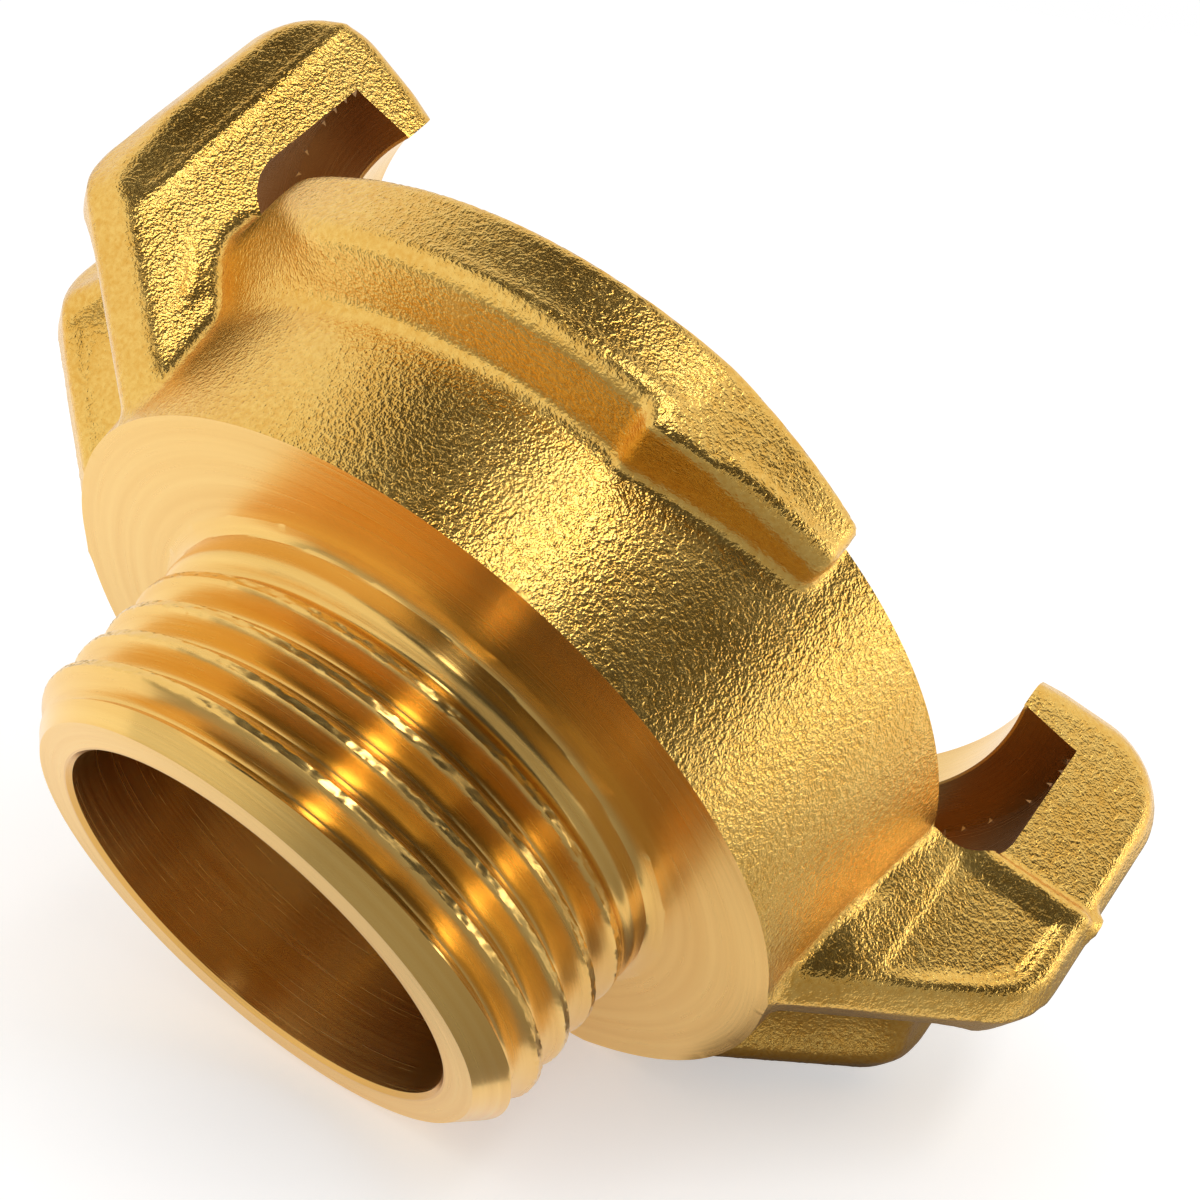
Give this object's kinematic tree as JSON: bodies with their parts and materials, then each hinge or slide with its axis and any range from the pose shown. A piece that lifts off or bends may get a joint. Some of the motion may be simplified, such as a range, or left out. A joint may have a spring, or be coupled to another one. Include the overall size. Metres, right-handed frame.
{
  "type": "claw hose coupling",
  "caption": "Brass quick hose coupling half with lugged claws, stepped flange segments, a male pipe thread and a rubber face seal.",
  "frame": {"origin": "on the coupling's axis, at the height of the claw tips it stands on", "axes": "+Z along the axis towards the thread's end face, +X through the middle of one claw"},
  "size_m": [0.0564, 0.0466, 0.0339],
  "materials": {
    "brass": "blasted forging skin, with turned thread, shoulder and claw insides",
    "seal_rubber": "matt moulded rubber"
  },
  "bodies": {
    "root": {"coupling_body": "brass", "face_seal": "seal_rubber"}
  },
  "joints": []
}
